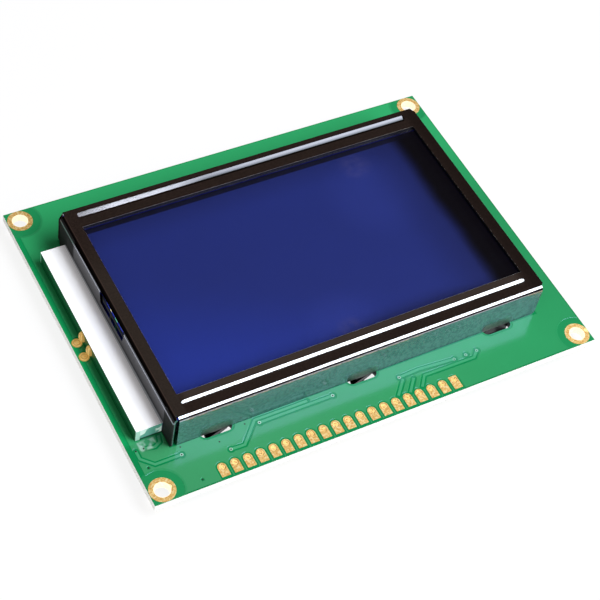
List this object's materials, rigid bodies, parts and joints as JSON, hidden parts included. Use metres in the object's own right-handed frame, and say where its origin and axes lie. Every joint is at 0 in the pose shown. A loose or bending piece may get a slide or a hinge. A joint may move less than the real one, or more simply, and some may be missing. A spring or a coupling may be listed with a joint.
{
  "type": "graphic lcd module",
  "caption": "Graphic display module: blue liquid crystal cell under a black folded bezel on a green circuit board, with a side lamp bay, corner holes and a row of gold header pads.",
  "frame": {"origin": "centre of the module's footprint, on the plane where the resin caps on its rear rest", "axes": "+Z out of the display's face, +X along the long side, -Y towards the header pads, -X towards the lamp bay"},
  "size_m": [0.093, 0.07, 0.0115],
  "materials": {
    "solder_mask": "glossy green solder mask over glass fibre board",
    "gold_plating": "matt gold plating",
    "black_paint": "satin black paint on folded steel",
    "polarizer": "glossy blue film",
    "cell_glass": "clear float glass",
    "sealant": "cured sealant",
    "crystal": "blue liquid crystal layer",
    "plug_resin": "clear yellowish resin",
    "contact_rubber": "striped conductive rubber",
    "milky_plastic": "milky moulded plastic",
    "acrylic": "clear moulded acrylic",
    "lit_film": "diffusing film lit from below",
    "white_film": "white reflecting film",
    "lamp_board_mask": "dark green solder mask",
    "lamp_case": "ivory lamp case",
    "chip_resin": "black potting resin",
    "resistor_black": "ceramic with a dark glaze",
    "capacitor_tan": "tan ceramic",
    "solder": "bright solder"
  },
  "bodies": {
    "root": {"circuit_board": "solder_mask", "mounting_rings": "gold_plating", "header_pads": "gold_plating", "feed_pads": "gold_plating", "bezel": "black_paint", "front_polarizer": "polarizer", "front_glass": "cell_glass", "cell_seal": "sealant", "liquid_crystal": "crystal", "rear_glass": "cell_glass", "rear_polarizer": "polarizer", "filling_port_plug": "plug_resin", "contact_strip_front": "contact_rubber", "contact_strip_rear": "contact_rubber", "backlight_frame": "milky_plastic", "light_guide": "acrylic", "diffuser_film": "lit_film", "reflector_film": "white_film", "lamp_cover_film": "white_film", "lamp_board": "lamp_board_mask", "lamp_board_pads": "gold_plating", "lamps": "lamp_case", "row_driver_resin": "chip_resin", "left_column_driver_resin": "chip_resin", "right_column_driver_resin": "chip_resin", "chip_resistors": "resistor_black", "chip_capacitors": "capacitor_tan", "chip_solder_joints": "solder"}
  },
  "joints": []
}
